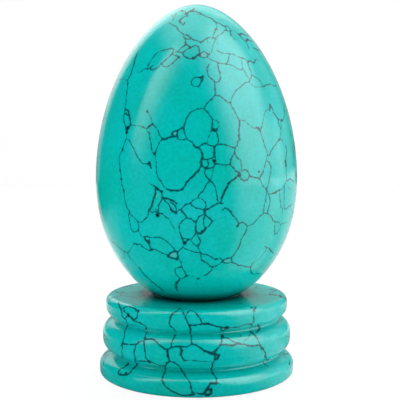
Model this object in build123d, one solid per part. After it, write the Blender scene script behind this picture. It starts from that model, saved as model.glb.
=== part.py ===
"""Polished stone egg standing loose in the hollow of a turned stone stand."""

import os

from build123d import *

# All sizes are in millimetres. The stand's underside is at Z = 0 and both pieces share the Z axis.

# The egg, narrow end up. Each reach is how far its outline keeps to one direction before it bends away,
# as a share of the way along that quarter of the outline.
EGG_HEIGHT = 60.0
EGG_DIAMETER = 40.3
EGG_WIDEST_SHARE = 0.42  # height of its widest line, as a share of the whole
LOWER_END_REACH = 0.57
LOWER_SIDE_REACH = 0.57
UPPER_END_REACH = 0.45
UPPER_SIDE_REACH = 0.56

# The stand: three rounded rings, each wider than the one above, with a groove ground between them.
STAND_HEIGHT = 15.8
STAND_DIAMETER = 39.3
RING_STEP = 0.63  # how far the side of each ring stands back from that of the ring below
UPPER_GROOVE_SHARE = 0.725  # height of each groove, as a share of the stand's
LOWER_GROOVE_SHARE = 0.285
UPPER_GROOVE_DEPTH = 2.0  # from the side of the ring above the groove
LOWER_GROOVE_DEPTH = 2.3
GROOVE_SLOPE = 0.55  # rise over run of the flanks that dive from a ring into a groove
GROOVE_ROUNDING = 0.35

# Roundings of a ring's corners, as shares of the straight side they take it from.
TOP_EDGE_SHARE = 0.4
SHOULDER_SHARE = 0.62
FOOT_SHARE = 0.25

# The hollow in the top face: the egg stands on its rim, clear of its floor.
SEAT_RADIUS = 8.7
SEAT_RIM_ROUNDING = 0.3
SEAT_GAP = 0.1
SEAT_FLOOR_CLEARANCE = 0.9


def egg_quarter(tip_level, end_reach, side_reach):
    """Control points of the outline from one tip of the egg to its widest line, above its lower tip."""
    widest = EGG_DIAMETER / 2
    widest_level = EGG_HEIGHT * EGG_WIDEST_SHARE
    bend_level = widest_level + side_reach * (tip_level - widest_level)
    return [(0, tip_level), (end_reach * widest, tip_level), (widest, bend_level), (widest, widest_level)]


def height_at_radius(curve, radius):
    """How far above the egg's lower tip its lower outline reaches the given radius."""
    low, high = 0.0, 1.0
    for _ in range(50):
        middle = (low + high) / 2
        if (curve @ middle).X < radius:
            low = middle
        else:
            high = middle
    return (curve @ low).Y


def shoulder(ring_radius, groove, slope):
    """Corner where the flank that leaves a groove at the slope meets the straight side of a ring."""
    return ring_radius, groove[1] + slope * (ring_radius - groove[0])


# The egg comes down until it is one gap above the rim of the hollow.
lower_quarter = egg_quarter(0, LOWER_END_REACH, LOWER_SIDE_REACH)
upper_quarter = egg_quarter(EGG_HEIGHT, UPPER_END_REACH, UPPER_SIDE_REACH)
rim_height = height_at_radius(Bezier(*lower_quarter), SEAT_RADIUS)
egg_tip_level = STAND_HEIGHT + SEAT_GAP - rim_height

with BuildPart() as egg:
    with BuildSketch(Plane.XZ.shift_origin((0, 0, egg_tip_level))):
        with BuildLine():
            Bezier(*lower_quarter)
            Bezier(*upper_quarter)
            Line((0, EGG_HEIGHT), (0, 0))
        make_face()
    revolve(axis=Axis.Z)

# The corners of the stand's outline, from the rim of its hollow out and down to the foot.
base_radius = STAND_DIAMETER / 2
middle_radius = base_radius - RING_STEP
top_radius = middle_radius - RING_STEP
upper_groove = (top_radius - UPPER_GROOVE_DEPTH, STAND_HEIGHT * UPPER_GROOVE_SHARE)
lower_groove = (middle_radius - LOWER_GROOVE_DEPTH, STAND_HEIGHT * LOWER_GROOVE_SHARE)
hollow_floor = (0, egg_tip_level - SEAT_FLOOR_CLEARANCE)
hollow_rim = (SEAT_RADIUS, STAND_HEIGHT)
top_edge = (top_radius, STAND_HEIGHT)
top_shoulder = shoulder(top_radius, upper_groove, GROOVE_SLOPE)
middle_upper_shoulder = shoulder(middle_radius, upper_groove, -GROOVE_SLOPE)
middle_lower_shoulder = shoulder(middle_radius, lower_groove, GROOVE_SLOPE)
base_shoulder = shoulder(base_radius, lower_groove, -GROOVE_SLOPE)
foot_edge = (base_radius, 0)

# Each corner's rounding comes from the straight side of the ring it belongs to.
top_side = top_edge[1] - top_shoulder[1]
middle_side = middle_upper_shoulder[1] - middle_lower_shoulder[1]
base_side = base_shoulder[1] - foot_edge[1]
roundings = {
    hollow_rim: SEAT_RIM_ROUNDING,
    top_edge: TOP_EDGE_SHARE * top_side,
    top_shoulder: SHOULDER_SHARE * top_side,
    upper_groove: GROOVE_ROUNDING,
    middle_upper_shoulder: SHOULDER_SHARE * middle_side,
    middle_lower_shoulder: SHOULDER_SHARE * middle_side,
    lower_groove: GROOVE_ROUNDING,
    base_shoulder: SHOULDER_SHARE * base_side,
    foot_edge: FOOT_SHARE * base_side,
}

with BuildPart() as stand:
    with BuildSketch(Plane.XZ) as outline:
        with BuildLine():
            TangentArc(hollow_floor, hollow_rim, tangent=(1, 0))
            Polyline(*roundings, (0, 0), hollow_floor)
        make_face()
        for corner, rounding in roundings.items():
            fillet(outline.vertices().sort_by_distance(corner)[0], radius=rounding)
    revolve(axis=Axis.Z)

os.makedirs("parts", exist_ok=True)
export_step(egg.part, "parts/egg.step")
export_step(stand.part, "parts/stand.step")
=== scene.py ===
"""Looks of a polished stone egg that stands in a turned stone stand, both dark-veined turquoise stone."""

import math

import bpy
import numpy as np
from mathutils import Matrix, Vector


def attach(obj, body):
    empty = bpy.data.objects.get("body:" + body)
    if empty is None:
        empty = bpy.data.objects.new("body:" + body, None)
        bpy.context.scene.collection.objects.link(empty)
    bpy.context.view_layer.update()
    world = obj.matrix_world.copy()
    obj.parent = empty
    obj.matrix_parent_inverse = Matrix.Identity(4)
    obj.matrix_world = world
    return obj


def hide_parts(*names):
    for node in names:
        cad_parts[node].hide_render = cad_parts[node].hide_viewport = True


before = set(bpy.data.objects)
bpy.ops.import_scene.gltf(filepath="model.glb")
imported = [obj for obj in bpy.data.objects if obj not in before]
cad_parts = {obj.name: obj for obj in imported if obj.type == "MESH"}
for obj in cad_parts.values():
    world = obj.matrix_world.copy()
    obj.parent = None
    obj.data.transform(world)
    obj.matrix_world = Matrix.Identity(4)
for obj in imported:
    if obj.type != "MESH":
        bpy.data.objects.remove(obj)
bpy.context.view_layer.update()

# The stand: one piece of dense reconstituted turquoise, turned on a lathe and polished all over.
# It has three rounded rings with two grooves between them. It stands loose on the table, and the hollow
# in its flat top takes the egg's broad end.
TURN_STEPS = 192  # facets round a turned piece
STAND_STEP = 0.0002  # metres along the outline from one ring of the mesh to the next
HOLLOW_EDGE = 0.010  # metres from the axis, just outside the hollow's rounded rim
UNDER_HOLLOW = 0.006  # metres above the table, below the hollow and above the flat underside


def corners_of(node):
    """Radius and level, in metres, of each corner of a turned piece's solid, from the lowest up."""
    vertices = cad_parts[node].data.vertices
    spots = np.empty(3 * len(vertices))
    vertices.foreach_get("co", spots)
    across, deep, level = spots.reshape(-1, 3).T
    corners = np.column_stack([np.hypot(across, deep), level])
    return corners[np.argsort(level)]


def ways_along(outline):
    """The way along an outline to each of its corners."""
    return np.concatenate([[0], np.cumsum(np.hypot(*np.diff(outline, axis=0).T))])


def lathe(name, outline, step, body, node):
    """A turned piece: its outline, from the middle of its underside up, spun into rings one step apart."""
    along = ways_along(outline)
    stations = np.linspace(0, along[-1], round(along[-1] / step) + 1)
    radii = np.interp(stations, along, outline[:, 0])
    levels = np.interp(stations, along, outline[:, 1])
    turns = np.linspace(0, math.tau, TURN_STEPS, endpoint=False)
    points = [(0, 0, levels[0])]
    for radius, level in zip(radii[1:-1], levels[1:-1]):
        points += [(radius * math.sin(turn), -radius * math.cos(turn), level) for turn in turns]
    points.append((0, 0, levels[-1]))
    last = len(points) - 1
    rings = len(radii) - 2
    faces = []
    face_marks = []
    for ring in range(rings + 1):
        low = 1 + (ring - 1) * TURN_STEPS
        high = low + TURN_STEPS
        under, over = ring / (rings + 1), (ring + 1) / (rings + 1)
        for turn in range(TURN_STEPS):
            after = (turn + 1) % TURN_STEPS
            left, right = turn / TURN_STEPS, (turn + 1) / TURN_STEPS
            if ring == 0:
                faces.append((0, high + after, high + turn))
                face_marks += [(left, under), (right, over), (left, over)]
            elif ring == rings:
                faces.append((low + turn, low + after, last))
                face_marks += [(left, under), (right, under), (left, over)]
            else:
                faces.append((low + turn, low + after, high + after, high + turn))
                face_marks += [(left, under), (right, under), (right, over), (left, over)]
    mesh = bpy.data.meshes.new(name)
    mesh.from_pydata(points, [], faces)
    mesh.shade_smooth()
    spread = mesh.uv_layers.new(name="OFBake")
    spread.data.foreach_set("uv", np.array(face_marks).ravel())
    piece = bpy.data.objects.new(name, mesh)
    bpy.context.collection.objects.link(piece)
    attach(piece, body)
    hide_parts(node)
    return piece


stand_corners = corners_of("stand")
in_middle = stand_corners[:, 0] <= HOLLOW_EDGE
hollow = stand_corners[in_middle & (stand_corners[:, 1] > UNDER_HOLLOW)]
hollow = hollow[np.argsort(-hollow[:, 0])]
stand_outline = np.concatenate([[[0, 0]], stand_corners[~in_middle], hollow])
stand = lathe("stone_stand", stand_outline, STAND_STEP, "stand", "stand")


def hex_linear(colour):
    """The linear colour of an sRGB hex value."""
    parts = [int(colour[place:place + 2], 16) / 255 for place in (0, 2, 4)]
    return [part / 12.92 if part <= 0.04045 else ((part + 0.055) / 1.055) ** 2.4 for part in parts] + [1]


def node(tree, kind, sockets=(), operation=None, **settings):
    """Adds a node with its settings. Each socket is linked to the node or output given, or set to the value.

    Only sockets in use count. They go by name or, where names repeat, by number.
    """
    added = tree.nodes.new("ShaderNode" + kind)
    if operation:
        added.operation = operation
    for name, setting in settings.items():
        setattr(added, name, setting)
    used = [socket for socket in added.inputs if socket.enabled]
    for key, given in dict(sockets).items():
        socket = used[key] if isinstance(key, int) else next(socket for socket in used if socket.name == key)
        if isinstance(given, bpy.types.Node):
            given = next(output for output in given.outputs if output.enabled)
        if isinstance(given, bpy.types.NodeSocket):
            tree.links.new(given, socket)
        else:
            socket.default_value = given
    return added


# One stretch of vein, or a dark spot where it has no length, added to those before it.
JOIN_ROUNDING = 0.3  # mm over which two veins run into each other
stretch = bpy.data.node_groups.new("stretch of vein", "ShaderNodeTree")
for socket, kind in (("Place", "Vector"), ("Nearest", "Float"), ("Start", "Vector"), ("Way", "Vector"),
                     ("Half width", "Float")):
    stretch.interface.new_socket(socket, in_out="INPUT", socket_type="NodeSocket" + kind)
stretch.interface.new_socket("Nearest", in_out="OUTPUT", socket_type="NodeSocketFloat")
given = stretch.nodes.new("NodeGroupInput").outputs
apart = node(stretch, "VectorMath", {0: given["Place"], 1: given["Start"]}, "SUBTRACT")
ahead = node(stretch, "VectorMath", {0: apart, 1: given["Way"]}, "DOT_PRODUCT")
whole = node(stretch, "VectorMath", {0: given["Way"], 1: given["Way"]}, "DOT_PRODUCT")
share = node(stretch, "Math", {0: ahead, 1: whole}, "DIVIDE")
within = node(stretch, "Clamp", {"Value": share})
foot = node(stretch, "VectorMath", {0: given["Way"], "Scale": within}, "SCALE")
gap = node(stretch, "VectorMath", {0: apart, 1: foot}, "DISTANCE")
outside = node(stretch, "Math", {0: gap, 1: given["Half width"]}, "SUBTRACT")
nearest = node(stretch, "Math", {0: given["Nearest"], 1: outside, 2: JOIN_ROUNDING}, "SMOOTH_MIN")
stretch.links.new(nearest.outputs[0], stretch.nodes.new("NodeGroupOutput").inputs[0])

LONGEST_STRAIGHT = 2.6  # mm, so that a stretch of vein stays in the surface
FAR_OFF = 5  # mm, further than any vein reaches


def marked(name, veins, outline, ways):
    """A node group that tells how far, in mm, a place lies outside the veins drawn on a turned piece.

    A vein is its half width in mm and the marks it runs through, or a dot where it has one mark. A mark is
    the turn from the camera's side in degrees and the way up the piece in mm. The outline and the ways to its
    corners are in metres.
    """
    def spot(turn, way):
        radius, level = (np.interp(way / 1000, ways, side) for side in outline.T)
        turn = math.radians(turn)
        return 1000 * Vector((radius * math.sin(turn), -radius * math.cos(turn), level))

    group = bpy.data.node_groups.new(name, "ShaderNodeTree")
    group.interface.new_socket("Place", in_out="INPUT", socket_type="NodeSocketVector")
    group.interface.new_socket("Outside", in_out="OUTPUT", socket_type="NodeSocketFloat")
    place = group.nodes.new("NodeGroupInput").outputs[0]
    nearest = FAR_OFF
    for half_width, *marks in veins:
        marks = np.array(marks)
        for first, second in zip(marks, marks[1:] if len(marks) > 1 else marks):
            parts = max(1, math.ceil((spot(*second) - spot(*first)).length / LONGEST_STRAIGHT))
            ends = [spot(*(first + (second - first) * part / parts)) for part in range(parts + 1)]
            for begin, end in zip(ends, ends[1:]):
                drawn = {"Place": place, "Nearest": nearest, "Start": begin, "Way": end - begin,
                         "Half width": half_width}
                nearest = node(group, "Group", drawn, node_tree=stretch)
    group.links.new(nearest.outputs[0], group.nodes.new("NodeGroupOutput").inputs[0])
    return group


# The stand's veins. Their ways run up its outline from where it leaves the table.
WIDE, PLAIN, SLIGHT = 0.2, 0.13, 0.04  # half widths in mm, a little bolder than the egg's
stand_veins = [
    (0.5, (18.3, 16.5)), (0.38, (-36.6, 19.35)), (0.25, (-47.8, 18.8)), (0.22, (-41.6, 17.85)),
    (0.33, (-43.8, 18.15)), (0.28, (-48.1, 17.3)), (0.4, (-28, 8.4)), (0.3, (-41.5, 5.1)),
    (0.4, (-48.8, 5.45)), (0.28, (40.5, 10.45)), (0.15, (27.3, 13.6)), (0.25, (43.5, 15.8)),
    (0.2, (36.7, 19.3)), (0.3, (36, 20.3)),
    (PLAIN, (-14.2, 19.4), (-15.1, 18.7), (-15.5, 17.7), (-14.6, 16.9), (-13.3, 16.5), (-13, 15.5),
     (-12.8, 14.2), (-13.5, 13), (-14, 12.2), (-13.7, 11.7)),
    (PLAIN, (-14.2, 19.4), (-12, 20.1), (-11, 21), (-12, 22.5)),
    (PLAIN, (-8.3, 20.7), (-7.4, 19.7), (-6, 18.7), (-4.9, 18), (-3.7, 17.4)),
    (WIDE, (-3.7, 17.4), (-3.5, 16.5)),
    (PLAIN, (-3.5, 16.5), (-3.7, 15), (-3.3, 14), (-2.6, 12.4)),
    (PLAIN, (-6, 18.7), (-5.3, 19.7), (-3.7, 20.4), (-1.9, 20.4), (0.4, 19.5), (2.2, 18.7), (3.2, 17.6)),
    (PLAIN, (-3.7, 17.4), (-0.5, 17.4), (2.2, 17.5), (4.5, 17.6)),
    (WIDE, (4.5, 17.6), (6.7, 17.7), (7.6, 17.65)),
    (PLAIN, (7.6, 17.65), (9, 17.5), (11.7, 17.1), (14.5, 16.9), (16.3, 16.7), (18.5, 16.5), (23.4, 16.6),
     (26.1, 16.5), (30.2, 16.9), (33.8, 16.9)),
    (WIDE, (14.9, 16.6), (15.8, 15.5), (15.8, 14.2), (15.6, 13.7)),
    (WIDE, (18.5, 16.4), (17.2, 15.2), (16.3, 14)),
    (PLAIN, (15.6, 13.7), (14.5, 12.7), (13.5, 12.2), (11.3, 11.2), (8.5, 10.7)),
    (PLAIN, (16.5, 13.6), (19, 13.4), (21.3, 12.6), (23.5, 12.2), (26, 12.1)),
    (PLAIN, (13.5, 12.1), (17.2, 12), (21.3, 11.9), (24.7, 12.1), (27.9, 11.9), (30.2, 11.5), (33.4, 11.2),
     (36.5, 11.2), (38.8, 11.2), (40.2, 10.6), (41.5, 10.4), (42.9, 9.5), (44.7, 8.5), (47, 7.6), (49.3, 7),
     (52.9, 6.5), (55.6, 6.4)),
    (PLAIN, (42.9, 9), (45.6, 7.2), (48.8, 6), (49.3, 5)),
    (PLAIN, (-29.9, 12.9), (-27.2, 12.9), (-24.9, 12.7), (-22.8, 12.5), (-20.1, 11.9), (-17.8, 11.4),
     (-16, 11.2), (-13.7, 11.7), (-11, 11.9), (-7.8, 11.9), (-5.1, 12), (-2.6, 12.5), (-0.1, 12.2),
     (2.6, 11.7), (4.5, 11.2)),
    (WIDE, (4.5, 11.2), (6.7, 10.9), (8.5, 10.7)),
    (WIDE, (-16, 11.1), (-15.8, 10), (-15.1, 9)),
    (PLAIN, (-15.1, 9), (-12.8, 8.9), (-11, 8.4), (-9.9, 7.9), (-9.6, 7), (-9.4, 6.2), (-7.4, 5.5),
     (-5.5, 4.4), (-3.7, 3.5), (-2.8, 2.5), (-2.4, 1.7), (-1, 1.4)),
    (PLAIN, (-15.1, 9), (-16.9, 8.5), (-18.5, 7.5), (-19.4, 6.2), (-19.6, 5), (-19.2, 3.7), (-17.8, 2.9),
     (-15.1, 2.1), (-11.9, 1.6), (-9.2, 1.2), (-6.5, 1.1), (-3.3, 1.2), (-0.5, 1.2)),
    (WIDE, (-9.1, 11.9), (-8.1, 11.1), (-8.6, 10.4)),
    (PLAIN, (-8.6, 10.4), (-7.3, 9.8), (-6.1, 9.4)),
    (SLIGHT, (-6.1, 9.4), (-2, 9.2), (2, 9.2), (5, 9.1), (8.1, 9.1)),
    (WIDE, (8.5, 10.7), (10.4, 10.6), (12.5, 10.2), (11.5, 9.75), (10.3, 9.6)),
    (PLAIN, (10.3, 10.6), (10.3, 9.6), (9.1, 8.7), (9.2, 7.6), (9.3, 6.3), (9.6, 5.5), (10.5, 4.7),
     (11.4, 4.15), (11, 3.4), (10.8, 3.1)),
    (WIDE, (10.8, 3.1), (9.2, 3.15), (7.8, 3.2), (6.3, 2.45), (5.2, 1.95), (4.5, 1.45), (3.1, 1.2)),
    (WIDE, (5.9, 2.1), (8.2, 2.05), (8, 1.45), (6.4, 1.15), (4.6, 1.1)),
    (SLIGHT, (11, 3.3), (12.9, 2.9)),
    (PLAIN, (3.1, 1.2), (0.4, 1.4)),
    (PLAIN, (-58.1, 20.3), (-57.5, 20), (-55, 19.5), (-51.3, 19), (-50.3, 18.5), (-50, 17.9), (-49.2, 17.5),
     (-48.1, 17.3)),
    (PLAIN, (-49.5, 19.1), (-48.3, 19.4), (-47.2, 19.75), (-45.5, 20), (-43.5, 19.9), (-41.5, 19.75),
     (-38.6, 19.5), (-36.6, 19.35)),
    (PLAIN, (-36.6, 19.35), (-36.7, 18.6), (-36.9, 18.1), (-38.3, 17.65), (-39.8, 17.65)),
    (WIDE, (-44.8, 18.4), (-43.6, 18.1), (-41.6, 17.85), (-40, 17.7)),
    (PLAIN, (-48.1, 17.3), (-46, 17.7), (-44.5, 18.1)),
    (SLIGHT, (-47.8, 18.8), (-46.5, 18.6), (-44.8, 18.4)),
    (PLAIN, (-46.7, 17.1), (-48.1, 16.2), (-49.9, 15.5), (-52.6, 14.8), (-50.4, 14), (-48.5, 13.2),
     (-47.2, 12.2), (-46.7, 11.3)),
    (PLAIN, (-40.4, 17.4), (-37.6, 17.2), (-34.9, 17), (-32.6, 16.7), (-31.7, 16.2), (-34, 15.1),
     (-32.6, 14.2), (-31.3, 13.2), (-30.6, 12), (-30.1, 10.5), (-29.5, 9.2), (-27.6, 8.5)),
    (PLAIN, (-48.5, 10.5), (-46.7, 11.1), (-43.1, 11.1), (-39.5, 11.2), (-36.7, 11.5), (-34.5, 12),
     (-31.3, 12.4), (-29.9, 12.9)),
    (PLAIN, (-27.6, 8.5), (-24.9, 8.1), (-22, 7.7), (-20.1, 7.7), (-18.5, 7.7)),
    (SLIGHT, (-24.9, 7.2), (-20, 7.4)),
    (PLAIN, (-36.7, 11.2), (-37.6, 10), (-37.2, 8.7), (-38.7, 8), (-40.2, 6.9), (-40.8, 6.2)),
    (PLAIN, (-37.6, 8), (-33.1, 8.2), (-28, 8.4)),
    (WIDE, (-46.9, 11.2), (-47.2, 10.4)),
    (PLAIN, (-47.2, 10.4), (-48.1, 9.3), (-48.3, 8.6), (-49.3, 7.9), (-50.8, 6.9), (-49.8, 6), (-48.8, 5.45)),
    (PLAIN, (-48.8, 5.45), (-48.9, 4.7), (-50, 4.4), (-50.4, 3.5), (-50, 3.1), (-47.5, 3.05)),
    (WIDE, (-47.5, 3.05), (-44.8, 3.2), (-42.8, 3.4), (-44, 3.75)),
    (PLAIN, (-42.8, 3.4), (-41.2, 3.75), (-41, 4.15), (-41.3, 4.65)),
    (WIDE, (-41.3, 4.65), (-41.5, 5.45), (-40.8, 6.2)),
    (SLIGHT, (-49.9, 8.2), (-52.2, 7.5), (-55.8, 6.7), (-59, 6.2)),
    (PLAIN, (39.7, 20.2), (37.5, 19.7), (35.6, 19.4), (35.6, 18.2), (36.1, 17.4), (34.3, 16.7), (36.5, 16),
     (36.7, 15.2), (36.6, 14.2)),
    (WIDE, (36.6, 14.2), (37.5, 13.2), (38.1, 12.5)),
    (SLIGHT, (38.1, 12.5), (38.2, 11.8), (38.5, 11.3)),
    (SLIGHT, (37, 14.2), (33.8, 13.5), (30.2, 12.6), (27.9, 12.4)),
    (PLAIN, (40.2, 16.5), (42.5, 15.7), (44.7, 15.1), (46.5, 14.8), (43.8, 14.2), (41.1, 13.9)),
    (PLAIN, (-13, 22), (-10, 22.1)),
    (PLAIN, (-46.5, 21.5), (-43.5, 21.6)),
    (PLAIN, (-39, 21.7), (-36, 21.7)),
    (PLAIN, (33, 24), (39, 24)),
]
stand_web = marked("stand veins", stand_veins, stand_outline[1:], ways_along(stand_outline[1:]))

# Sizes in the stone, in mm, and its colours.
WANDER, WANDER_WAVE = 0.7, 1.8182  # how far a vein strays about its drawn line, and over what length
CELL, CELL_COUNTED = 6, 5  # across a cell of undrawn veins, and as counted, so that its sides come out bolder
CELL_VEIN = 0.08  # half width of a cell's side
DRIFT, DRIFT_WAVE = 7, 6.25  # how far the cells' sides bend, and over what length
HELD_OFF = 4  # how far cells are pushed off where veins are drawn
DRAWN_FADE = 6  # degrees over which cells take over from drawn veins
COVERED_FROM, COVERED_TO = 0.3, -0.7  # off the seat, between which cells take over
SWELL, SWELL_WAVE = 0.3, 0.7692  # how far a vein thins, and over what length
CLOUD_WAVE, GRAIN_WAVE = 8.333, 0.625  # between clouds, and between grains
GREENER, BLUER, PALE_GRAIN = "00c0b3", "00c6c4", "8fa6a6"
VEIN, HEART = "005e62", "001014"
PAINTED_SHADE_KEPT = 0.3  # share of its colour that the stone keeps at the seat, under the painted contact shade
DULLER = 0.05  # roughness that a vein adds
NOISE_SPAN = {"From Min": 0.3, "From Max": 0.7}  # nearly all noise lies in it
SMOOTH = {"interpolation_type": "SMOOTHSTEP"}


def turquoise(name, webs, turn_drawn, axis, seat, painted_shade_reach, grains=None):
    """Reconstituted turquoise, ground and polished: even blue-green cut by dark veins, under a glassy polish.

    Veins are drawn where it shows, and veins of the same kind run all over the rest. The drawn ones end at
    a turn, in degrees, and at the seat, where egg and stand touch, given in mm along an axis. Painted shade,
    standing in for the shadow where egg and stand touch, darkens the stone up to its reach from there.
    """
    material = bpy.data.materials.new(name)
    material.use_nodes = True
    tree = material.node_tree
    on_piece = node(tree, "TexCoord").outputs
    place = node(tree, "VectorMath", {0: on_piece["Object"], "Scale": 1000}, "SCALE")

    # Every vein wanders a little about its drawn line, along the surface.
    wander = node(tree, "TexNoise", {"Vector": place, "Scale": 1 / WANDER_WAVE, "Detail": 2})
    shift = node(tree, "VectorMath", {0: wander.outputs["Color"], 1: [WANDER] * 3, 2: [-WANDER / 2] * 3},
                 "MULTIPLY_ADD")
    outward = node(tree, "VectorMath", {0: shift, 1: on_piece["Normal"]}, "PROJECT")
    sideways = node(tree, "VectorMath", {0: shift, 1: outward}, "SUBTRACT")
    wandered = node(tree, "VectorMath", {0: place, 1: sideways}, "ADD")

    # The rest: cells of stone whose sides are bent by a slow drift.
    drift = node(tree, "TexNoise", {"Vector": place, "Scale": 1 / DRIFT_WAVE, "Detail": 3})
    drifted = node(tree, "VectorMath", {0: drift.outputs["Color"], 1: [DRIFT] * 3, 2: place}, "MULTIPLY_ADD")
    cells = node(tree, "TexVoronoi", {"Vector": drifted, "Scale": 1 / CELL}, feature="DISTANCE_TO_EDGE")
    outside = node(tree, "Math", {0: cells, 1: CELL_COUNTED, 2: -CELL_VEIN}, "MULTIPLY_ADD")
    axes = node(tree, "SeparateXYZ", {0: place}).outputs
    flat = node(tree, "VectorMath", {0: place, 1: (1, 1, 0)}, "MULTIPLY")
    radius = node(tree, "VectorMath", {0: flat}, "LENGTH")
    ahead = node(tree, "Math", {0: axes["Y"], 1: -1}, "MULTIPLY")
    turn = node(tree, "Math", {0: axes["X"], 1: ahead}, "ARCTAN2")
    turned = node(tree, "Math", {0: turn}, "ABSOLUTE")
    rear = node(tree, "MapRange", {0: turned, "From Min": math.radians(turn_drawn), "To Min": HELD_OFF,
                                   "From Max": math.radians(turn_drawn + DRAWN_FADE), "To Max": 0})
    way = {"height": axes["Z"], "radius": radius}[axis]
    covered = node(tree, "MapRange", {0: way, "From Min": seat + COVERED_FROM, "To Min": HELD_OFF,
                                      "From Max": seat + COVERED_TO, "To Max": 0})
    # Painted shade: the stone darkens towards the seat, standing in for the contact shadow where egg and
    # stand touch.
    off_seat = node(tree, "Math", {0: way, 1: seat}, "SUBTRACT")
    from_seat = node(tree, "Math", {0: off_seat}, "ABSOLUTE")
    painted_contact_shade = node(tree, "MapRange", {0: from_seat, "From Max": painted_shade_reach, "To Min": PAINTED_SHADE_KEPT})
    shown = node(tree, "Math", {0: rear, 1: covered}, "MINIMUM")
    outside = node(tree, "Math", {0: outside, 1: shown}, "ADD")
    for web in webs:
        drawn = node(tree, "Group", {0: wandered}, node_tree=web)
        outside = node(tree, "Math", {0: outside, 1: drawn}, "MINIMUM")

    # Veins swell and thin along their way, and the swollen ones are nearly black. Their edges are in mm.
    swell = node(tree, "TexNoise", {"Vector": place, "Scale": 1 / SWELL_WAVE, "Detail": 3})
    swollen = node(tree, "Math", {0: swell, 1: SWELL, 2: outside}, "MULTIPLY_ADD")
    vein = node(tree, "MapRange", {0: swollen, "From Min": 0.25, "From Max": 0.09}, **SMOOTH)
    heart = node(tree, "MapRange", {0: swollen, "From Min": 0.05, "From Max": -0.15}, **SMOOTH)

    # The ground between them drifts from a greener to a bluer turquoise, with fine paler and darker grain.
    cloud = node(tree, "TexNoise", {"Vector": place, "Scale": 1 / CLOUD_WAVE, "Detail": 3})
    clouded = node(tree, "MapRange", {0: cloud, **NOISE_SPAN})
    ground = node(tree, "Mix", {"Factor": clouded, "A": hex_linear(GREENER), "B": hex_linear(BLUER)},
                  data_type="RGBA")
    grain = node(tree, "TexNoise", {"Vector": place, "Scale": 1 / GRAIN_WAVE, "Detail": 4})
    grained = node(tree, "MapRange", {0: grain, **NOISE_SPAN, "To Min": 0.9, "To Max": 1.08})
    # The painted contact shade at the seat darkens the ground colour here.
    shaded = node(tree, "Math", {0: grained, 1: painted_contact_shade}, "MULTIPLY")
    ground = node(tree, "VectorMath", {0: ground, "Scale": shaded}, "SCALE")
    layers = [(vein, VEIN), (heart, HEART)]
    if grains:
        drawn = node(tree, "Group", {0: wandered}, node_tree=grains)
        pale = node(tree, "MapRange", {0: drawn, "From Min": 0.15, "From Max": -0.3, "To Max": 0.3}, **SMOOTH)
        layers.insert(0, (pale, PALE_GRAIN))
    colour = ground
    for share, over in layers:
        colour = node(tree, "Mix", {"Factor": share, "A": colour, "B": hex_linear(over)}, data_type="RGBA")

    # The polish is even, a shade duller over the veins, with the faint waves of hand polishing.
    dulled = node(tree, "MapRange", {0: grain, **NOISE_SPAN, "To Min": 0.09, "To Max": 0.14})
    rough = node(tree, "Math", {0: vein, 1: DULLER, 2: dulled}, "MULTIPLY_ADD")
    waves = node(tree, "Bump", {"Height": cloud, "Strength": 0.15, "Distance": 0.0003})
    shader = tree.nodes["Principled BSDF"]
    shader.inputs["IOR"].default_value = 1.6
    mixed = colour.outputs[2]
    tree.links.new(mixed, shader.inputs["Base Color"])
    tree.links.new(rough.outputs[0], shader.inputs["Roughness"])
    tree.links.new(waves.outputs[0], shader.inputs["Normal"])
    return material


# The stand's painted contact shade reaches 3.5 mm from the seat.
stand.data.materials.append(turquoise(
    "polished turquoise of the stand", [stand_web], turn_drawn=64, axis="radius", seat=9.0, painted_shade_reach=3.5))

# The egg: one piece of the same stone, ground to shape and polished all over, narrow end up.
# It stands loose on the rim of the stand's hollow, and lifts straight out.
EGG_STEP = 0.0006  # metres along the outline from one ring of the mesh to the next
SEAT_HEIGHT = 2.3  # mm from the egg's lower tip up to where it touches the stand
egg_outline = corners_of("egg")
egg_tip = 1000 * egg_outline[0, 1]
egg = lathe("stone_egg", egg_outline, EGG_STEP, "egg", "egg")

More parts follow.
